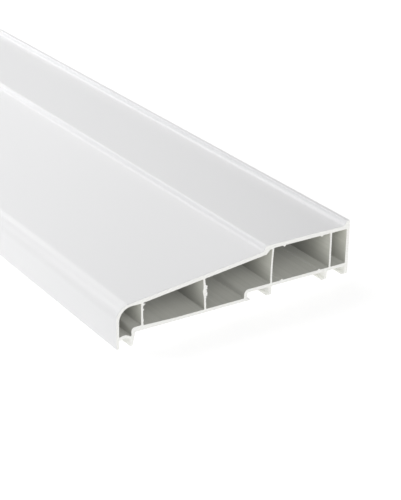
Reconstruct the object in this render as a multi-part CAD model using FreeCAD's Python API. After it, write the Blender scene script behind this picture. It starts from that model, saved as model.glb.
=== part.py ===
# Window sill board: one length of white hollow plastic sill, saw-cut at both ends.
# Section frame: X runs from the nose to the back, Z is up from the flat underside (the bed),
# and the board is drawn along +Y. The finished board is then leaned to lie on the floor.
import FreeCAD
import Part

import math
import os

# Stock
length = 1250.0
width = 150.0
seat_height = 30.0       # bed to the flat seat that the window frame stands on
seat_depth = 53.4        # step to the upstand
slope_angle = 6.75       # fall of the weathered top towards the nose, in degrees
step_height = 3.0        # rise from the weathered top to the seat
step_angle = 66.0
upstand_wall = 2.6
upstand_height = 2.7
upstand_angle = 72.0     # its front leans back

# Walls
top_wall = 2.3
base_wall = 2.0
back_wall = 2.1
web_wall = 1.1
inner_radius = 0.5
edge_radius = 0.4
step_radius = 2.2
step_crest_radius = 1.7
step_inside_angle = 45.0
step_inside_radius = 1.0
step_inside_gap = 1.7    # the inner side of the step starts this much behind its outer foot
pocket_drop = 0.4        # the roof is thicker in the corner between the step and its web
pocket_radius = 1.2
upstand_foot_radius = 2.5
upstand_radius = 0.6

# Nose: bullnose, two drip lips with a groove between them, and the arch that closes the chamber
nose_radius = 8.5
nose_wall = 1.7
nose_depth = 11.1
nose_drop = 7.7          # bed to the bottom of the drip lips
groove_width = 6.3
leg_foot_wall = 1.8      # the rear lip narrows towards its foot
nose_floor = 3.0
nose_chamber_radius = 7.6
nose_corner_radius = 2.0
arch_wall = 1.9
arch_front = -0.9        # heights of the arch's upper side above the bed
arch_crown = 0.2
arch_rear = -2.1
arch_crown_x = 5.3
arch_radius = 5.0
lip_radius = 0.6
throat_radius = 1.0
haunch_length = 20.0     # the base is thicker behind the first web
haunch_height = 0.7

# Webs, by the place of their top end
front_web_x = 15.5
middle_web_x = 53.6
middle_web_lean = 0.9    # the foot stands this much behind the head
step_web_gap = 4.8       # step to the web behind it
step_web_lean = -0.7
step_web_bow = 0.55      # the web bows towards the nose
bow_radius = 120.0
rear_web_gap = 10.8      # web to the inside of the back wall

# Screw guides: small ridges along the roof and floor of the chamber under the seat
guide_height = 0.9
guide_width = 1.9
front_guide_gap = 6.9    # from the step web
rear_guide_gap = 6.9     # from the rear web
guide_shift = 0.5        # the roof's guides sit this much behind centre, the floor's ahead

# Underside: recess behind the bed, with two undercut clip slots
recess_depth = 4.9
recess_radius = 2.6
clip_mouth = 10.4
lip_wall = 1.8
foot_reach = 2.0
foot_wall = 0.9

arc_share = 0.98         # most of a side's length that the arcs at its two ends take up


def tangent(degrees):
    return math.tan(math.radians(degrees))


def rounded_wire(corners):
    """Closed wire through (x, z, radius) corners, each rounded by an arc that its sides can hold."""
    points = [FreeCAD.Vector(x, 0, z) for x, z, radius in corners]
    count = len(points)
    sides = [points[(i + 1) % count] - points[i] for i in range(count)]
    halves = [(-sides[i - 1]).getAngle(sides[i]) / 2 for i in range(count)]
    wanted = [corners[i][2] / math.tan(halves[i]) for i in range(count)]
    # The share of its two arcs that each side has room for
    room = [arc_share * sides[i].Length / (wanted[i] + wanted[(i + 1) % count]) for i in range(count)]
    arcs = []
    for i, point in enumerate(points):
        reach = wanted[i] * min(1, room[i - 1], room[i])
        back = (-sides[i - 1]).normalize()
        ahead = FreeCAD.Vector(sides[i]).normalize()
        depth = reach * math.tan(halves[i]) * (1 / math.sin(halves[i]) - 1)
        middle = point + (back + ahead).normalize() * depth
        arcs.append((point + back * reach, middle, point + ahead * reach))
    edges = []
    for i, (arrival, middle, departure) in enumerate(arcs):
        edges.append(Part.Arc(arrival, middle, departure).toShape())
        edges.append(Part.LineSegment(departure, arcs[(i + 1) % count][0]).toShape())
    return Part.Wire(edges)


# Places that several outlines share
back_inside = width - back_wall
upstand_x = width - upstand_wall
upstand_foot_x = upstand_x - upstand_height / tangent(upstand_angle)
step_top_x = upstand_foot_x - seat_depth
step_foot_x = step_top_x - step_height / tangent(step_angle)
roof = seat_height - top_wall
pocket = roof - pocket_drop
rear_floor = recess_depth + base_wall
nose_rear_inside = nose_depth - base_wall
groove_rear_x = nose_wall + groove_width
leg_foot_x = groove_rear_x + leg_foot_wall
middle_web_foot = middle_web_x + middle_web_lean
step_web_x = step_top_x + step_web_gap
step_web_foot = step_web_x + step_web_lean
rear_web_x = back_inside - rear_web_gap
half_web = web_wall / 2

# Faces of the underside lips, from the back to the bed
back_foot_tip = back_inside - foot_reach
rear_lip_face = back_foot_tip - clip_mouth
rear_lip_inside = rear_lip_face - lip_wall
step_lip_face = step_web_foot + half_web
step_lip_inside = step_lip_face - lip_wall
bed_end = step_lip_inside - foot_reach - clip_mouth
bed_wall_face = bed_end - foot_reach
bed_wall_inside = bed_wall_face - base_wall


def slope_z(x):
    """Height of the weathered top."""
    return seat_height - step_height - (step_foot_x - x) * tangent(slope_angle)


def slope_inside_z(x):
    """Height of the underside of the weathered top."""
    return slope_z(x) - top_wall / math.cos(math.radians(slope_angle))


def arch_z(x):
    """Height of the arch's upper side before its crown is rounded."""
    if x < arch_crown_x:
        share = (x - nose_wall) / (arch_crown_x - nose_wall)
        return arch_front + share * (arch_crown - arch_front)
    share = (x - arch_crown_x) / (nose_rear_inside - arch_crown_x)
    return arch_crown + share * (arch_rear - arch_crown)


def step_inside():
    """The two corners of the step's inner side, which rises less steeply than the outer one."""
    foot_x = step_foot_x + step_inside_gap
    foot_z = slope_inside_z(foot_x)
    top_x = foot_x + (pocket - foot_z) / tangent(step_inside_angle)
    return [(foot_x, foot_z, step_inside_radius), (top_x, pocket, pocket_radius)]


def foot(tip, inside, ceiling):
    """Inward foot of a lip, from its tip's bottom corner up to the slot's ceiling."""
    return [
        (tip, 0, edge_radius),
        (tip, foot_wall, edge_radius / 2),
        (inside, foot_wall, edge_radius / 2),
        (inside, ceiling, edge_radius),
    ]


def outside():
    """The outer outline, from the nose over the top and back along the underside."""
    top = [
        (0, -nose_drop, lip_radius),
        (0, slope_z(0), nose_radius),
        (step_foot_x, slope_z(step_foot_x), step_radius),
        (step_top_x, seat_height, step_crest_radius),
        (upstand_foot_x, seat_height, upstand_foot_radius),
        (upstand_x, seat_height + upstand_height, upstand_radius),
        (width, seat_height + upstand_height, edge_radius),
        (width, 0, lip_radius),
    ]
    underside = foot(back_foot_tip, back_inside, recess_depth)
    underside += [(rear_lip_face, recess_depth, edge_radius), (rear_lip_face, 0, lip_radius)]
    underside += foot(rear_lip_inside - foot_reach, rear_lip_inside, recess_depth)
    underside += [(step_lip_face, recess_depth, edge_radius), (step_lip_face, 0, lip_radius)]
    underside += foot(step_lip_inside - foot_reach, step_lip_inside, recess_depth)
    underside += reversed(foot(bed_end, bed_wall_face, recess_depth))
    nose = [
        (nose_depth, 0, throat_radius),
        (nose_depth, arch_rear, throat_radius),
        (leg_foot_x, -nose_drop, lip_radius),
        (groove_rear_x, -nose_drop, lip_radius),
        (groove_rear_x, arch_z(groove_rear_x) - arch_wall, inner_radius),
        (arch_crown_x, arch_crown - arch_wall, arch_radius),
        (nose_wall, arch_front - arch_wall, inner_radius),
        (nose_wall, -nose_drop, lip_radius),
    ]
    return top + underside + nose


def nose_chamber():
    web_face = front_web_x - half_web
    nose_roof = slope_inside_z(web_face)
    return [
        (nose_wall, arch_front, inner_radius),
        (nose_wall, nose_roof, nose_chamber_radius),
        (web_face, nose_roof, inner_radius),
        (web_face, nose_floor, inner_radius),
        (nose_rear_inside, nose_floor, nose_corner_radius),
        (nose_rear_inside, arch_rear, edge_radius),
        (arch_crown_x, arch_crown, arch_radius),
    ]


def front_chamber():
    web_face = front_web_x + half_web
    far_face = middle_web_x - half_web
    return [
        (web_face, base_wall + haunch_height, inner_radius),
        (web_face, slope_inside_z(web_face), inner_radius),
        (far_face, slope_inside_z(far_face), inner_radius),
        (middle_web_foot - half_web, base_wall, inner_radius),
        (web_face + haunch_length, base_wall, haunch_length),
    ]


def step_web_side(offset):
    """The bowed middle of one face of the step web, at its own height."""
    middle_x = (step_web_x + step_web_foot) / 2 - step_web_bow
    return [(middle_x + offset, (roof + rear_floor) / 2, bow_radius)]


def middle_chamber():
    web_face = middle_web_x + half_web
    corners = [
        (middle_web_foot + half_web, base_wall, inner_radius),
        (web_face, slope_inside_z(web_face), inner_radius),
    ]
    corners += step_inside()
    corners += [(step_web_x - half_web, pocket, inner_radius)]
    corners += step_web_side(-half_web)
    corners += [
        (step_web_foot - half_web, rear_floor, inner_radius),
        (bed_wall_inside, rear_floor, recess_radius),
        (bed_wall_inside, base_wall, inner_radius),
    ]
    return corners


def guide(x, z, direction):
    """A screw guide on a roof or floor: direction is +1 on a floor run backwards, -1 on a roof."""
    half = guide_width / 2
    return [
        (x + direction * half, z, edge_radius / 2),
        (x, z + direction * guide_height, edge_radius / 2),
        (x - direction * half, z, edge_radius / 2),
    ]


def seat_chamber():
    front_guide_x = step_web_x + front_guide_gap
    rear_guide_x = rear_web_x - rear_guide_gap
    corners = [(step_web_foot + half_web, rear_floor, inner_radius)]
    corners += step_web_side(half_web)
    corners += [(step_web_x + half_web, roof, inner_radius)]
    corners += guide(front_guide_x + guide_shift, roof, -1)
    corners += guide(rear_guide_x + guide_shift, roof, -1)
    corners += [
        (rear_web_x - half_web, roof, inner_radius),
        (rear_web_x - half_web, rear_floor, inner_radius),
    ]
    corners += guide(rear_guide_x - guide_shift, rear_floor, 1)
    corners += guide(front_guide_x - guide_shift, rear_floor, 1)
    return corners


def back_chamber():
    web_face = rear_web_x + half_web
    return [
        (web_face, rear_floor, inner_radius),
        (web_face, roof, inner_radius),
        (back_inside, roof, inner_radius),
        (back_inside, rear_floor, inner_radius),
    ]


def lay_on_floor(board):
    """Lean the board onto its rear drip lip and its back foot, and centre it over the origin."""
    lean = math.degrees(math.atan2(nose_drop, width - leg_foot_x))
    board.rotate(FreeCAD.Vector(0, 0, 0), FreeCAD.Vector(0, 1, 0), lean)
    box = board.optimalBoundingBox(False, False)
    board.translate(FreeCAD.Vector(-box.Center.x, -box.Center.y, -box.ZMin))
    return board


chambers = [nose_chamber(), front_chamber(), middle_chamber(), seat_chamber(), back_chamber()]
wires = [rounded_wire(corners) for corners in [outside()] + chambers]
section = Part.makeFace(wires, "Part::FaceMakerBullseye")
sill_board = lay_on_floor(section.extrude(FreeCAD.Vector(0, length, 0)))

os.makedirs("parts", exist_ok=True)
sill_board.exportStep("parts/sill_board.step")
print("section area", round(section.Area, 2), "mm2, volume", round(sill_board.Volume), "mm3")
box = sill_board.optimalBoundingBox(False, False)
print("box", round(box.XLength, 3), round(box.YLength, 3), round(box.ZLength, 3))
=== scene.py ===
import math

import bmesh
import bpy
from mathutils import Euler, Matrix, Vector, geometry, noise


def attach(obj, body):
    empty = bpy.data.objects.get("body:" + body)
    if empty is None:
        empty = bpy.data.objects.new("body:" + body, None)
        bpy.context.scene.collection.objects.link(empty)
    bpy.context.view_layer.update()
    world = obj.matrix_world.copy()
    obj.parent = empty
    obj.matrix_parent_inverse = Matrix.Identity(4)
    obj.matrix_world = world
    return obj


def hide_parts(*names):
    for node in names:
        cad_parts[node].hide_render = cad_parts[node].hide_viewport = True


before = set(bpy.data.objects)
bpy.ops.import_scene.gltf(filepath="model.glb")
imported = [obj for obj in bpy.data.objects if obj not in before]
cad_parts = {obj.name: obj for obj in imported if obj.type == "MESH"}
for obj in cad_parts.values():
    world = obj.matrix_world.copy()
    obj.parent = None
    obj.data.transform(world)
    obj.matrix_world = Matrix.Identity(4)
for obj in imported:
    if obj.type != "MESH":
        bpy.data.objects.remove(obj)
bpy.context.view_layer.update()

mm = 0.001

# Stock
length = 1250.0
width = 150.0
seat_height = 30.0
seat_depth = 53.4
slope_angle = 6.75
step_height = 3.0
step_angle = 66.0
upstand_wall = 2.6
upstand_height = 2.7
upstand_angle = 72.0

# Walls
top_wall = 2.3
base_wall = 2.0
back_wall = 2.1
web_wall = 1.1
inner_radius = 0.5
edge_radius = 0.4
step_radius = 2.2
step_crest_radius = 1.7
step_inside_angle = 45.0
step_inside_radius = 1.0
step_inside_gap = 1.7
pocket_drop = 0.4
pocket_radius = 1.2
upstand_foot_radius = 2.5
upstand_radius = 0.6

# Nose
nose_radius = 8.5
nose_wall = 1.7
nose_depth = 11.1
nose_drop = 7.7
groove_width = 6.3
leg_foot_wall = 1.8
nose_floor = 3.0
nose_chamber_radius = 7.6
nose_corner_radius = 2.0
arch_wall = 1.9
arch_front = -0.9
arch_crown = 0.2
arch_rear = -2.1
arch_crown_x = 5.3
arch_radius = 5.0
lip_radius = 0.6
throat_radius = 1.0
haunch_length = 20.0
haunch_height = 0.7

# Webs, by the place of their top end
front_web_x = 15.5
middle_web_x = 53.6
middle_web_lean = 0.9
step_web_gap = 4.8
step_web_lean = -0.7
step_web_bow = 0.55
bow_radius = 120.0
rear_web_gap = 10.8

# Screw guides
guide_height = 0.9
guide_width = 1.9
front_guide_gap = 6.9
rear_guide_gap = 6.9
guide_shift = 0.5

# Underside
recess_depth = 4.9
recess_radius = 2.6
clip_mouth = 10.4
lip_wall = 1.8
foot_reach = 2.0
foot_wall = 0.9

# Cut ends: how far in from the end each ring of the surface lies, and how much of the burr is left there
end_rings = [(0.0, 1.0), (0.12, 0.9), (0.35, 0.55), (0.8, 0.15), (1.6, 0.0)]
long_rings = [5.0, 15.0, 50.0, 150.0, 350.0]     # and the rings further in, which have none
side_run = 0.5           # longest run between two points of an outline
arc_step = 7.0           # degrees
arc_share = 0.98         # most of a side's length that the arcs at its two ends take up
sharp_edge = 30.0        # degrees
floor_slant = 0.7        # a chamber's surface is a floor when it looks up at least this much
edge_break = 0.1         # worn corner of the outer edges at a cut
break_fade = 4           # power by which that corner fades inwards
fuzz = 0.1               # fine raggedness of the chamber edges at a cut
fuzz_pitch = 1.7         # steps of its noise in each millimetre
fuzz_bias = 0.2          # how far it leans to the inside
burr_width = 0.5         # how far a burr spreads across the board
teeth_pitch = 2.3        # steps of the noise that notches a burr in each millimetre
teeth_level = 0.62
teeth_swing = 0.75
near_seed = 1.0          # layer of the noise that the near end's raggedness is drawn from
far_seed = 9.0           # and the far end's
teeth_seed = 5.0         # how many layers further the notches lie

# Material numbers of the board's mesh, and the sockets of a node that mixes two colours
skin, chamber_wall, chamber_floor, saw_cut, recess = range(5)
mix_share, mix_first, mix_second = 0, 6, 7
mix_result = 2

# Larger burrs that the saw left on the webs: (x, z, spread, reach)
burrs_near = [
    (16.05, 14.7, 0.45, 2.6),
    (16.05, 11.7, 0.35, 1.3),
    (16.05, 5.6, 0.9, 0.5),
    (16.05, 3.2, 0.5, 0.4),
    (54.2, 17.0, 0.5, 0.6),
    (54.4, 13.8, 1.3, 2.2),
    (54.5, 10.6, 1.6, 2.0),
    (54.5, 15.6, 0.7, 1.2),
    (53.2, 12.5, 2.0, 0.9),
    (54.6, 5.0, 0.8, 0.4),
]
burrs_far = [
    (16.15, 9.0, 1.6, 1.2),
    (54.4, 15.5, 1.2, 0.9),
    (97.6, 12.0, 2.0, 1.0),
    (137.8, 16.0, 1.5, 0.8),
]

# Finishes. A pair is a range. A size is the length of a pattern's features along X, Y and Z,
# and sizes, depths and places are in metres.
noise_span = (0.3, 0.7)          # where most of a noise's values lie
skin_tints = ((0.842, 0.844, 0.852), (0.878, 0.878, 0.884))
skin_roughness = (0.29, 0.33)
die_line_size = (0.0013, 2.0, 0.0013)
die_line_depth = 0.000001
peel_size = (0.004, 0.006, 0.004)
peel_depth = 0.000004
cloud_size = (0.09, 0.25, 0.09)
scuff_size = (0.012, 0.0009, 0.012)
scuff_span = (0.66, 0.78)
scuff_roughness = 0.14           # added where the skin is rubbed

# Chamber tints are painted shade: far darker than the white plastic, olive as from light bounced inside the
# tubes
chamber_wall_shade_tints = ((0.47, 0.475, 0.43), (0.57, 0.57, 0.525))
chamber_floor_shade_tints = ((0.32, 0.325, 0.295), (0.44, 0.44, 0.41))
chamber_roughness = (0.42, 0.56)
chamber_line_size = (0.0016, 3.0, 0.0016)
chamber_line_depth = 0.00003
chamber_cloud_size = (0.02, 0.05, 0.02)
chamber_mix_span = (0.2, 1.7)    # of the lines and the cloud together
chamber_glow_colour = (1, 1, 0.95)     # tint of the painted glow that stands in for light coming through the walls
mouth_light_depth = 0.03                # how far in from a cut end the walls go from painted light at the mouth to painted shade
foot_shade_heights = (0.007, 0.019)    # between these the walls get painted shade towards their foot
front_back_shade_places = (-0.02, 0.075)  # and between these the painted shade or light of the front chambers turns into that of the back

recess_tints = ((0.8, 0.802, 0.77), (0.84, 0.842, 0.815))
recess_roughness = (0.4, 0.46)
recess_line_depth = 0.000002
recess_cloud_size = (0.05, 0.15, 0.05)
# Painted glow that lightens the shaded underside
recess_painted_glow_colour = (1, 1, 0.96)
recess_painted_glow = 0.05

cut_tints = ((0.825, 0.825, 0.79), (0.88, 0.88, 0.855))
cut_roughness = (0.48, 0.66)
saw_centre = (0.04, 0.0, -0.13)  # middle of the arcs that the blade left
saw_pitch = 0.0016               # from one arc to the next
saw_wander = 5.0                 # how far an arc strays, in radians of its wave
saw_wander_size = (0.006, 0.006, 0.006)
saw_contrast = 0.35
saw_grain_size = (0.0005, 0.0005, 0.0005)
saw_span = (0.1, 0.9)            # of the arcs and the grain together
saw_mark_depth = 0.00005

# Studio, in metres and watts
floor_side = 60.0
paper_glow = 0.615
paper_tints = ((0.59, 0.59, 0.59), (0.61, 0.61, 0.61))
paper_fibre_size = (0.004, 0.004, 0.004)
world_strength = 0.3
near_half = (0, -0.35, 0)
# Soft lights: (name, place, what it is aimed at, size, strength)
softboxes = [
    ("key", (-0.843, -1.81, 1.414), near_half, 1.1, 7.4),
    ("front", (0, -2.255, 1.1), near_half, 1.1, 11.0),
    ("rear", (0.953, 1.3, 1.1), near_half, 1.1, 3.5),
    ("low_rear", (0, 1.717, 0.752), near_half, 1.1, 4.0),
    ("top", (0, 0.6, 0.9), (0, 0.2, 0), 0.8, 4.1),
    ("side", (-0.5, 0.1, 0.5), (0, 0, 0), 0.5, 2.1),
    ("low_side", (-0.8, 0.3, 0.25), (0.02, -0.1, 0.03), 0.4, 0.66),
    ("step_side", (-0.35, 0.35, 0.1), (0.02, 0, 0.03), 0.25, 0.6),
]

# Camera: its place and lens in millimetres, its turns in degrees
camera_place = (-390.91, -1217.26, 383.89)
camera_sensor = 36.0
camera_lens = 107.26
camera_azimuth = -31.871
camera_elevation = 26.059
camera_roll = -2.061
camera_range = 100.0             # metres


def tangent(degrees):
    return math.tan(math.radians(degrees))


# Places that several outlines share
back_inside = width - back_wall
upstand_x = width - upstand_wall
upstand_foot_x = upstand_x - upstand_height / tangent(upstand_angle)
step_top_x = upstand_foot_x - seat_depth
step_foot_x = step_top_x - step_height / tangent(step_angle)
roof = seat_height - top_wall
pocket = roof - pocket_drop
rear_floor = recess_depth + base_wall
nose_rear_inside = nose_depth - base_wall
groove_rear_x = nose_wall + groove_width
leg_foot_x = groove_rear_x + leg_foot_wall
middle_web_foot = middle_web_x + middle_web_lean
step_web_x = step_top_x + step_web_gap
step_web_foot = step_web_x + step_web_lean
rear_web_x = back_inside - rear_web_gap
half_web = web_wall / 2
back_foot_tip = back_inside - foot_reach
rear_lip_face = back_foot_tip - clip_mouth
rear_lip_inside = rear_lip_face - lip_wall
step_lip_face = step_web_foot + half_web
step_lip_inside = step_lip_face - lip_wall
bed_end = step_lip_inside - foot_reach - clip_mouth
bed_wall_face = bed_end - foot_reach
bed_wall_inside = bed_wall_face - base_wall


def slope_z(x):
    """Height of the weathered top."""
    return seat_height - step_height - (step_foot_x - x) * tangent(slope_angle)


def slope_inside_z(x):
    """Height of the underside of the weathered top."""
    return slope_z(x) - top_wall / math.cos(math.radians(slope_angle))


def arch_z(x):
    """Height of the arch's upper side before its crown is rounded."""
    if x < arch_crown_x:
        share = (x - nose_wall) / (arch_crown_x - nose_wall)
        return arch_front + share * (arch_crown - arch_front)
    share = (x - arch_crown_x) / (nose_rear_inside - arch_crown_x)
    return arch_crown + share * (arch_rear - arch_crown)


def step_inside():
    """The two corners of the step's inner side."""
    foot_x = step_foot_x + step_inside_gap
    foot_z = slope_inside_z(foot_x)
    top_x = foot_x + (pocket - foot_z) / tangent(step_inside_angle)
    return [(foot_x, foot_z, step_inside_radius), (top_x, pocket, pocket_radius)]


def foot(tip, inside, ceiling):
    """Inward foot of a lip, from its tip's bottom corner up to the slot's ceiling."""
    return [
        (tip, 0, edge_radius),
        (tip, foot_wall, edge_radius / 2),
        (inside, foot_wall, edge_radius / 2),
        (inside, ceiling, edge_radius),
    ]


def outside():
    """The outer outline, from the nose over the top and back along the underside."""
    top = [
        (0, -nose_drop, lip_radius),
        (0, slope_z(0), nose_radius),
        (step_foot_x, slope_z(step_foot_x), step_radius),
        (step_top_x, seat_height, step_crest_radius),
        (upstand_foot_x, seat_height, upstand_foot_radius),
        (upstand_x, seat_height + upstand_height, upstand_radius),
        (width, seat_height + upstand_height, edge_radius),
        (width, 0, lip_radius),
    ]
    underside = foot(back_foot_tip, back_inside, recess_depth)
    underside += [(rear_lip_face, recess_depth, edge_radius), (rear_lip_face, 0, lip_radius)]
    underside += foot(rear_lip_inside - foot_reach, rear_lip_inside, recess_depth)
    underside += [(step_lip_face, recess_depth, edge_radius), (step_lip_face, 0, lip_radius)]
    underside += foot(step_lip_inside - foot_reach, step_lip_inside, recess_depth)
    underside += reversed(foot(bed_end, bed_wall_face, recess_depth))
    nose = [
        (nose_depth, 0, throat_radius),
        (nose_depth, arch_rear, throat_radius),
        (leg_foot_x, -nose_drop, lip_radius),
        (groove_rear_x, -nose_drop, lip_radius),
        (groove_rear_x, arch_z(groove_rear_x) - arch_wall, inner_radius),
        (arch_crown_x, arch_crown - arch_wall, arch_radius),
        (nose_wall, arch_front - arch_wall, inner_radius),
        (nose_wall, -nose_drop, lip_radius),
    ]
    return top + underside + nose


def nose_chamber():
    web_face = front_web_x - half_web
    nose_roof = slope_inside_z(web_face)
    return [
        (nose_wall, arch_front, inner_radius),
        (nose_wall, nose_roof, nose_chamber_radius),
        (web_face, nose_roof, inner_radius),
        (web_face, nose_floor, inner_radius),
        (nose_rear_inside, nose_floor, nose_corner_radius),
        (nose_rear_inside, arch_rear, edge_radius),
        (arch_crown_x, arch_crown, arch_radius),
    ]


def front_chamber():
    web_face = front_web_x + half_web
    far_face = middle_web_x - half_web
    return [
        (web_face, base_wall + haunch_height, inner_radius),
        (web_face, slope_inside_z(web_face), inner_radius),
        (far_face, slope_inside_z(far_face), inner_radius),
        (middle_web_foot - half_web, base_wall, inner_radius),
        (web_face + haunch_length, base_wall, haunch_length),
    ]


def step_web_side(offset):
    """The bowed middle of one face of the step web, at its own height."""
    middle_x = (step_web_x + step_web_foot) / 2 - step_web_bow
    return [(middle_x + offset, (roof + rear_floor) / 2, bow_radius)]


def middle_chamber():
    web_face = middle_web_x + half_web
    corners = [
        (middle_web_foot + half_web, base_wall, inner_radius),
        (web_face, slope_inside_z(web_face), inner_radius),
    ]
    corners += step_inside()
    corners += [(step_web_x - half_web, pocket, inner_radius)]
    corners += step_web_side(-half_web)
    corners += [
        (step_web_foot - half_web, rear_floor, inner_radius),
        (bed_wall_inside, rear_floor, recess_radius),
        (bed_wall_inside, base_wall, inner_radius),
    ]
    return corners


def guide(x, z, direction):
    """A screw guide on a roof or floor: direction is +1 on a floor run backwards, -1 on a roof."""
    half = guide_width / 2
    return [
        (x + direction * half, z, edge_radius / 2),
        (x, z + direction * guide_height, edge_radius / 2),
        (x - direction * half, z, edge_radius / 2),
    ]


def seat_chamber():
    front_guide_x = step_web_x + front_guide_gap
    rear_guide_x = rear_web_x - rear_guide_gap
    corners = [(step_web_foot + half_web, rear_floor, inner_radius)]
    corners += step_web_side(half_web)
    corners += [(step_web_x + half_web, roof, inner_radius)]
    corners += guide(front_guide_x + guide_shift, roof, -1)
    corners += guide(rear_guide_x + guide_shift, roof, -1)
    corners += [
        (rear_web_x - half_web, roof, inner_radius),
        (rear_web_x - half_web, rear_floor, inner_radius),
    ]
    corners += guide(rear_guide_x - guide_shift, rear_floor, 1)
    corners += guide(front_guide_x - guide_shift, rear_floor, 1)
    return corners


def back_chamber():
    web_face = rear_web_x + half_web
    return [
        (web_face, rear_floor, inner_radius),
        (web_face, roof, inner_radius),
        (back_inside, roof, inner_radius),
        (back_inside, rear_floor, inner_radius),
    ]


def rounded_loop(corners):
    """Points of a closed outline through (x, z, radius) corners, along its arcs and sides in short runs."""
    points = [Vector((x, z)) for x, z, radius in corners]
    count = len(points)
    sides = [points[(i + 1) % count] - points[i] for i in range(count)]
    halves = [(-sides[i - 1]).angle(sides[i]) / 2 for i in range(count)]
    wanted = [corners[i][2] / math.tan(halves[i]) for i in range(count)]
    room = [arc_share * sides[i].length / (wanted[i] + wanted[(i + 1) % count]) for i in range(count)]
    arcs = []
    for i, point in enumerate(points):
        reach = wanted[i] * min(1, room[i - 1], room[i])
        back = -sides[i - 1].normalized()
        ahead = sides[i].normalized()
        radius = reach * math.tan(halves[i])
        centre = point + (back + ahead).normalized() * radius / math.sin(halves[i])
        start = point + back * reach - centre
        turn = math.copysign(math.pi - 2 * halves[i], ahead.cross(back))
        steps = max(2, math.ceil(abs(math.degrees(turn)) / arc_step))
        arcs.append([centre + turned(start, turn * k / steps) for k in range(steps + 1)])
    loop = []
    for i, arc in enumerate(arcs):
        loop += arc
        rest = arcs[(i + 1) % count][0] - arc[-1]
        runs = math.ceil(rest.length / side_run)
        loop += [arc[-1] + rest * k / runs for k in range(1, runs)]
    return loop


def turned(vector, angle):
    """A flat vector turned by an angle in radians."""
    c = math.cos(angle)
    s = math.sin(angle)
    return Vector((c * vector.x - s * vector.y, s * vector.x + c * vector.y))


def inward(loop):
    """For each point of an outline, the direction into what it encloses."""
    area = sum(a.cross(b) for a, b in zip(loop, loop[1:] + loop[:1]))
    side = math.copysign(1, area)
    found = []
    for i in range(len(loop)):
        along = (loop[(i + 1) % len(loop)] - loop[i - 1]).normalized()
        found.append(Vector((-along.y, along.x)) * side)
    return found


def ragged(point, direction, burrs, seed):
    """How far the saw pushed a chamber's edge in at a point, in millimetres."""
    fine = noise.noise(Vector((point.x * fuzz_pitch, point.y * fuzz_pitch, seed)))
    push = fuzz * max(0, fine + fuzz_bias)
    for x, z, spread, reach in burrs:
        near = math.exp(-((point.y - z) / spread) ** 2 - ((point.x - x) / burr_width) ** 2)
        notches = noise.noise(Vector((point.y * teeth_pitch, seed + teeth_seed, x)))
        teeth = teeth_level + teeth_swing * notches
        push += reach * near * max(0, teeth) * direction.x ** 2
    return push


# The outer outline comes first, and the chambers follow it
outer = 0
outlines = [rounded_loop(c) for c in (
    outside(), nose_chamber(), front_chamber(), middle_chamber(), seat_chamber(), back_chamber())]
directions = [inward(loop) for loop in outlines]

# Lean onto the rear drip lip and the back foot, centred over the origin
lean = math.atan2(nose_drop, width - leg_foot_x)
leaned = [turned(point, -lean) for point in outlines[outer]]
shift_x = -(min(p.x for p in leaned) + max(p.x for p in leaned)) / 2
shift_z = -min(p.y for p in leaned)


def placed(point, y):
    """A point of the section at y along the board, in the row frame in metres."""
    at = turned(point, -lean)
    return Vector((at.x + shift_x, y - length / 2, at.y + shift_z)) * mm


def ring(which, y, share, burrs, seed):
    """One outline at y, with its share of the raggedness of the nearer cut end."""
    found = []
    for point, direction in zip(outlines[which], directions[which]):
        if which == outer:
            push = edge_break * share ** break_fade
        else:
            push = share * ragged(point, direction, burrs, seed)
        found.append(placed(point + direction * push, y))
    return found


def hidden_under(point):
    """Whether a point of the outer outline lies in the drip groove or in the recess behind the bed."""
    in_groove = nose_wall - edge_break < point.x < groove_rear_x + edge_break and point.y < arch_crown
    in_recess = bed_end - edge_break < point.x < back_inside + edge_break and point.y < rear_floor
    return in_groove or in_recess


def chamber_side(point, direction):
    """Material of a chamber's surface: a floor, with the riser between two floor heights, or a wall."""
    riser = bed_wall_inside - edge_radius < point.x < step_web_foot - edge_radius and point.y < rear_floor
    # The riser gets the floors' material, whose darker tint is painted shade
    return chamber_floor if riser or direction.y > floor_slant else chamber_wall


def side_material(which, i):
    """Material of the strip that runs along the board from the i-th point of an outline to the next."""
    point = outlines[which][i]
    if which == outer:
        return recess if hidden_under(point) else skin
    return chamber_side(point, directions[which][i])


def stations():
    """Where the outlines are drawn: (y, share of the raggedness, burrs, seed), from the near end on."""
    near = [(y, share, burrs_near, near_seed) for y, share in end_rings]
    near += [(y, 0.0, burrs_near, near_seed) for y in long_rings]
    far = [(length - y, share, burrs_far, far_seed) for y, share in end_rings]
    far += [(length - y, 0.0, burrs_far, far_seed) for y in long_rings]
    return near + far[::-1]


def build_board():
    """The board as one mesh: skin, chamber walls and cut ends."""
    places = stations()
    vertices = []
    faces = []
    materials = []
    near_caps = []
    far_caps = []
    for which, outline in enumerate(outlines):
        count = len(outline)
        first = len(vertices)
        for place in places:
            vertices += ring(which, *place)
        last = len(vertices) - count
        for a in range(first, last, count):
            b = a + count
            for i in range(count):
                j = (i + 1) % count
                faces.append((a + i, a + j, b + j, b + i))
                materials.append(side_material(which, i))
        near_caps.append(range(first, first + count))
        far_caps.append(range(last, last + count))
    for caps in (near_caps, far_caps):
        order = [i for r in caps for i in r]
        rings = [[vertices[i] for i in r] for r in caps]
        for triangle in geometry.tessellate_polygon(rings):
            faces.append(tuple(order[i] for i in triangle))
            materials.append(saw_cut)
    mesh = bpy.data.meshes.new("sill_board_finish")
    mesh.from_pydata(vertices, [], faces)
    mesh.polygons.foreach_set("material_index", materials)
    shape = bmesh.new()
    shape.from_mesh(mesh)
    bmesh.ops.recalc_face_normals(shape, faces=shape.faces)
    shape.to_mesh(mesh)
    shape.free()
    mesh.polygons.foreach_set("use_smooth", [True] * len(mesh.polygons))
    mesh.set_sharp_from_angle(angle=math.radians(sharp_edge))
    return mesh


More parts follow.
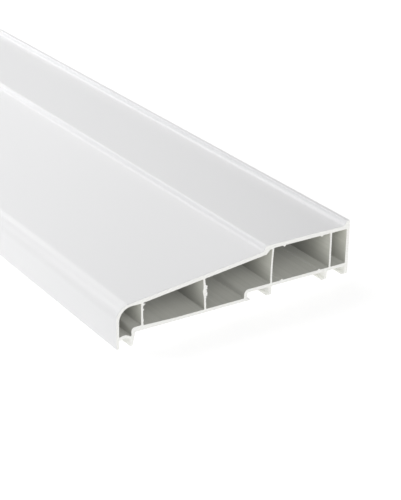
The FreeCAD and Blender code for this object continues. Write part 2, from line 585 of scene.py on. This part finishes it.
def new_material(name, colour, roughness):
    """A material of one plain finish, with its node tree and shader."""
    material = bpy.data.materials.new(name)
    material.use_nodes = True
    tree = material.node_tree
    shader = tree.nodes["Principled BSDF"]
    shader.inputs["Base Color"].default_value = (*colour, 1)
    shader.inputs["Roughness"].default_value = roughness
    return material, tree, shader


def joined(tree, kind, inputs, **settings):
    """A new node whose inputs are plain values or the outputs of other nodes."""
    node = tree.nodes.new(kind)
    for name, value in settings.items():
        setattr(node, name, value)
    for name, value in inputs.items():
        if isinstance(value, bpy.types.NodeSocket):
            tree.links.new(value, node.inputs[name])
        else:
            node.inputs[name].default_value = value
    return node


def worked(tree, operation, *values):
    """The result of a sum on plain numbers or the outputs of other nodes."""
    return joined(tree, "ShaderNodeMath", dict(enumerate(values)), operation=operation).outputs[0]


def place_on(tree):
    """Where a point of the surface lies, in the row frame in metres."""
    return joined(tree, "ShaderNodeTexCoord", {}).outputs["Object"]


def pattern(tree, size, detail=2.0, roughness=0.5, distortion=0.0):
    """Noise from 0 to 1 whose features are size metres long along X, Y and Z."""
    scale = tuple(1 / step for step in size)
    at = joined(tree, "ShaderNodeMapping", {"Vector": place_on(tree), "Scale": scale}).outputs["Vector"]
    noise_inputs = {"Vector": at, "Scale": 1.0, "Detail": detail, "Roughness": roughness,
                    "Distortion": distortion}
    return joined(tree, "ShaderNodeTexNoise", noise_inputs).outputs["Fac"]


def ranged(tree, value, low, high, to_low, to_high):
    """A value moved from one range to another, and held inside it."""
    inputs = {"Value": value, "From Min": low, "From Max": high, "To Min": to_low, "To Max": to_high}
    return joined(tree, "ShaderNodeMapRange", inputs, clamp=True).outputs["Result"]


def blended(tree, share, first, second):
    """A colour between two others."""
    inputs = {mix_share: share, mix_first: (*first, 1), mix_second: (*second, 1)}
    return joined(tree, "ShaderNodeMix", inputs, data_type="RGBA").outputs[mix_result]


def relief(tree, height, depth, under=None):
    """A bump of so many metres, over another one."""
    inputs = {"Height": height, "Strength": 1.0, "Distance": depth}
    if under is not None:
        inputs["Normal"] = under
    return joined(tree, "ShaderNodeBump", inputs).outputs["Normal"]


def skin_material():
    """Satin outer skin: cool white, with faint die lines run lengthwise and a few rubbed places."""
    material, tree, shader = new_material("sill_skin", (0.86, 0.86, 0.87), 0.3)
    die_lines = pattern(tree, die_line_size)
    peel = pattern(tree, peel_size)
    cloud = pattern(tree, cloud_size)
    rubbed = pattern(tree, scuff_size, detail=3.0, distortion=0.6)
    scuff = ranged(tree, rubbed, *scuff_span, 0.0, 1.0)
    tree.links.new(blended(tree, cloud, *skin_tints), shader.inputs["Base Color"])
    gloss = ranged(tree, die_lines, *noise_span, *skin_roughness)
    dull = worked(tree, "MULTIPLY_ADD", scuff, scuff_roughness, gloss)
    tree.links.new(dull, shader.inputs["Roughness"])
    drawn = relief(tree, die_lines, die_line_depth)
    tree.links.new(relief(tree, peel, peel_depth, drawn), shader.inputs["Normal"])
    return material


def shaded_chamber_material(name, tints, glow, deep, mouth, low, front, back):
    """Chamber surfaces: dull, lined lengthwise, tinted with painted shade and lit by a painted glow.

    The glow stands in for a little light let through the walls. Their colour is scaled by deep inside the
    board and by mouth at a cut end, painted shade deep in and painted light at the open end; by low at a
    wall's foot, painted shade there; and by front and back in the chambers there, painted shade or light.
    """
    material, tree, shader = new_material(name, tints[1], 0.5)
    die_lines = pattern(tree, chamber_line_size, detail=4.0, roughness=0.65)
    cloud = pattern(tree, chamber_cloud_size, detail=3.0)
    lined = ranged(tree, die_lines, *noise_span, 0.0, 1.0)
    mixed = worked(tree, "ADD", lined, cloud)
    share = ranged(tree, mixed, *chamber_mix_span, 0.0, 1.0)
    tint = blended(tree, share, *tints)
    # Painted shade and light: darker deep in, paler at the cut ends, darker at a wall's foot, lighter at
    # the back
    axes = joined(tree, "ShaderNodeSeparateXYZ", {"Vector": place_on(tree)}).outputs
    end = length / 2 * mm
    inner = ranged(tree, worked(tree, "ABSOLUTE", axes["Y"]), end - mouth_light_depth, end, deep, mouth)
    lower = ranged(tree, axes["Z"], *foot_shade_heights, low, 1.0)
    across = ranged(tree, axes["X"], *front_back_shade_places, front, back)
    pale = worked(tree, "MULTIPLY", worked(tree, "MULTIPLY", inner, lower), across)
    shaded = joined(tree, "ShaderNodeVectorMath", {0: tint, "Scale": pale}, operation="SCALE").outputs[0]
    tree.links.new(shaded, shader.inputs["Base Color"])
    tree.links.new(ranged(tree, lined, 0, 1, *chamber_roughness), shader.inputs["Roughness"])
    tree.links.new(relief(tree, die_lines, chamber_line_depth), shader.inputs["Normal"])
    # Painted glow, standing in for light that comes through the walls
    shader.inputs["Emission Color"].default_value = (*chamber_glow_colour, 1)
    shader.inputs["Emission Strength"].default_value = glow
    return material


def glowing_recess_material():
    """The sheltered underside: as the skin, but duller and warmer, with a painted glow that lightens its
    shade.
    """
    material, tree, shader = new_material("sill_recess_glowing", (0.88, 0.88, 0.85), 0.42)
    die_lines = pattern(tree, die_line_size)
    cloud = pattern(tree, recess_cloud_size)
    tree.links.new(blended(tree, cloud, *recess_tints), shader.inputs["Base Color"])
    tree.links.new(ranged(tree, die_lines, *noise_span, *recess_roughness), shader.inputs["Roughness"])
    tree.links.new(relief(tree, die_lines, recess_line_depth), shader.inputs["Normal"])
    # Painted glow that lightens the underside's shade, as light coming through it
    shader.inputs["Emission Color"].default_value = (*recess_painted_glow_colour, 1)
    shader.inputs["Emission Strength"].default_value = recess_painted_glow
    return material


def cut_material():
    """Saw-cut end: warm matt white, crossed by the arcs that the blade's teeth left."""
    material, tree, shader = new_material("sill_saw_cut", (0.88, 0.88, 0.85), 0.55)
    blade = joined(tree, "ShaderNodeVectorMath", {0: place_on(tree), 1: saw_centre}, operation="SUBTRACT")
    flat = joined(tree, "ShaderNodeVectorMath", {0: blade.outputs[0], 1: (1, 0, 1)}, operation="MULTIPLY")
    radius = joined(tree, "ShaderNodeVectorMath", {0: flat.outputs[0]}, operation="LENGTH").outputs["Value"]
    wander = pattern(tree, saw_wander_size)
    phase = worked(tree, "MULTIPLY", radius, 2 * math.pi / saw_pitch)
    arcs = worked(tree, "SINE", worked(tree, "MULTIPLY_ADD", wander, saw_wander, phase))
    grain = pattern(tree, saw_grain_size, detail=3.0)
    rough = worked(tree, "MULTIPLY_ADD", arcs, saw_contrast, grain)
    share = ranged(tree, rough, *saw_span, 0.0, 1.0)
    tree.links.new(blended(tree, share, *cut_tints), shader.inputs["Base Color"])
    tree.links.new(ranged(tree, share, 0, 1, *cut_roughness), shader.inputs["Roughness"])
    tree.links.new(relief(tree, rough, saw_mark_depth), shader.inputs["Normal"])
    return material


def floor_material():
    """Pale paper that glows, so that it is lighter than the board."""
    material, tree, shader = new_material("floor_paper", (0.9, 0.9, 0.9), 0.9)
    fibre = pattern(tree, paper_fibre_size, detail=3.0)
    tree.links.new(blended(tree, fibre, *paper_tints), shader.inputs["Base Color"])
    shader.inputs["Emission Color"].default_value = (1, 1, 1, 1)
    shader.inputs["Emission Strength"].default_value = paper_glow
    return material


def softbox(name, place, aimed_at, size, watts):
    """A round soft light aimed at a point, its place and size in metres."""
    data = bpy.data.lights.new(name, "AREA")
    data.shape = "DISK"
    data.size = size
    data.energy = watts
    light = bpy.data.objects.new(name, data)
    light.location = place
    away = (Vector(place) - Vector(aimed_at)).normalized()
    light.rotation_mode = "QUATERNION"
    light.rotation_quaternion = away.to_track_quat("Z", "Y")
    bpy.context.scene.collection.objects.link(light)


def studio_world():
    """Plain white surroundings."""
    world = bpy.data.worlds.new("studio")
    world.use_nodes = True
    background = world.node_tree.nodes["Background"]
    background.inputs["Color"].default_value = (1, 1, 1, 1)
    background.inputs["Strength"].default_value = world_strength
    bpy.context.scene.world = world


# Board, its materials in the order of their numbers
board_mesh = build_board()
board_mesh.materials.append(skin_material())
# The chamber walls and floors are shaded copies of one plastic, with painted shade and glow
board_mesh.materials.append(shaded_chamber_material(
    "sill_chamber_wall_shaded", chamber_wall_shade_tints,
    glow=0.04, deep=0.62, mouth=1.31, low=0.62, front=0.93, back=1.12))
board_mesh.materials.append(shaded_chamber_material(
    "sill_chamber_floor_shaded", chamber_floor_shade_tints,
    glow=0.072, deep=0.97, mouth=1.03, low=1.0, front=1.02, back=1.0))
board_mesh.materials.append(cut_material())
board_mesh.materials.append(glowing_recess_material())
board = bpy.data.objects.new("sill_board_finish", board_mesh)
bpy.context.scene.collection.objects.link(board)
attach(board, "root")
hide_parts("sill_board")

# Floor
floor_mesh = bpy.data.meshes.new("floor")
edge = floor_side / 2
floor_corners = [(-edge, -edge, 0), (edge, -edge, 0), (edge, edge, 0), (-edge, edge, 0)]
floor_mesh.from_pydata(floor_corners, [], [(0, 1, 2, 3)])
floor_mesh.materials.append(floor_material())
floor = bpy.data.objects.new("floor", floor_mesh)
bpy.context.scene.collection.objects.link(floor)

# Light
studio_world()
for box in softboxes:
    softbox(*box)

# Camera
camera_data = bpy.data.cameras.new("camera")
camera_data.sensor_width = camera_sensor
camera_data.lens = camera_lens
camera_data.clip_end = camera_range
camera = bpy.data.objects.new("camera", camera_data)
camera.location = Vector(camera_place) * mm
heading = Euler((0, 0, math.radians(camera_azimuth))).to_matrix()
tilt = Euler((math.radians(90 - camera_elevation), 0, 0)).to_matrix()
roll = Euler((0, 0, math.radians(camera_roll))).to_matrix()
camera.rotation_mode = "QUATERNION"
camera.rotation_quaternion = (heading @ tilt @ roll).to_quaternion()
bpy.context.scene.collection.objects.link(camera)
bpy.context.scene.camera = camera
bpy.context.scene.view_settings.view_transform = "Standard"
